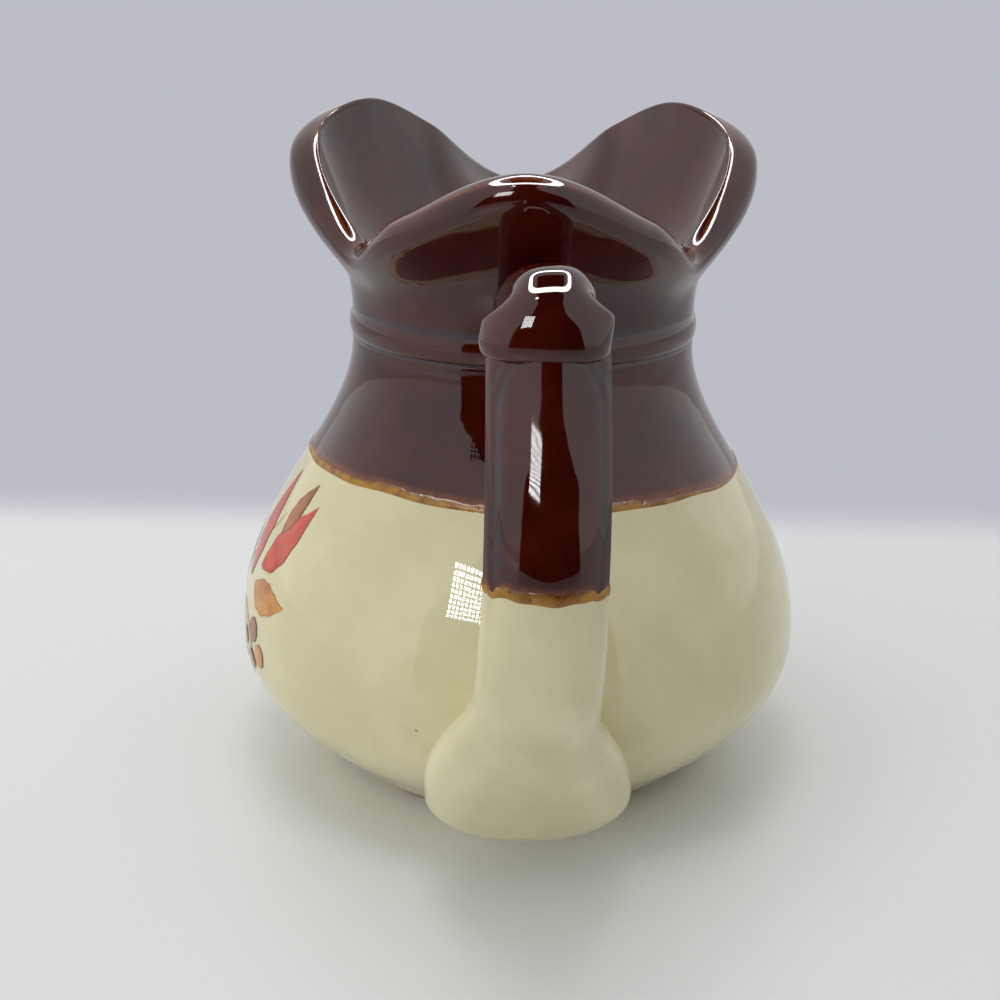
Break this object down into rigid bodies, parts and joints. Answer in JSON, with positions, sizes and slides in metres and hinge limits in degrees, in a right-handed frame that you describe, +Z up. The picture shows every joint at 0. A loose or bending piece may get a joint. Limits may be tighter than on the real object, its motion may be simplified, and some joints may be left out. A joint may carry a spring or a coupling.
{
  "type": "pottery pitcher",
  "caption": "Squat two-tone glazed pitcher with a round belly, beaded neck, winged pouring mouth and a strap handle with a thumb rest.",
  "frame": {"origin": "centre of the ring that the pitcher stands on, on the axis of the body, at the resting plane", "axes": "+Z up along the axis of the body, +Y towards the pouring lip, -Y towards the handle, +X to the right of someone who looks at the handle"},
  "size_m": [0.127, 0.1694, 0.1439],
  "materials": {
    "dark_glaze": "gloss",
    "pale_glaze": "gloss",
    "ochre_glaze": "gloss",
    "bare_clay": "matt"
  },
  "bodies": {
    "root": {"foot_ring": "bare_clay", "belly": "pale_glaze", "shoulder": "dark_glaze", "neck_bead": "dark_glaze", "rear_lip": "dark_glaze", "spout": "dark_glaze", "handle_arm": "dark_glaze", "thumb_rest": "dark_glaze", "handle_strap": "dark_glaze", "handle_tail": "pale_glaze", "handle_terminal": "pale_glaze", "body_glaze_roll": "ochre_glaze", "handle_glaze_roll": "ochre_glaze"}
  },
  "joints": []
}
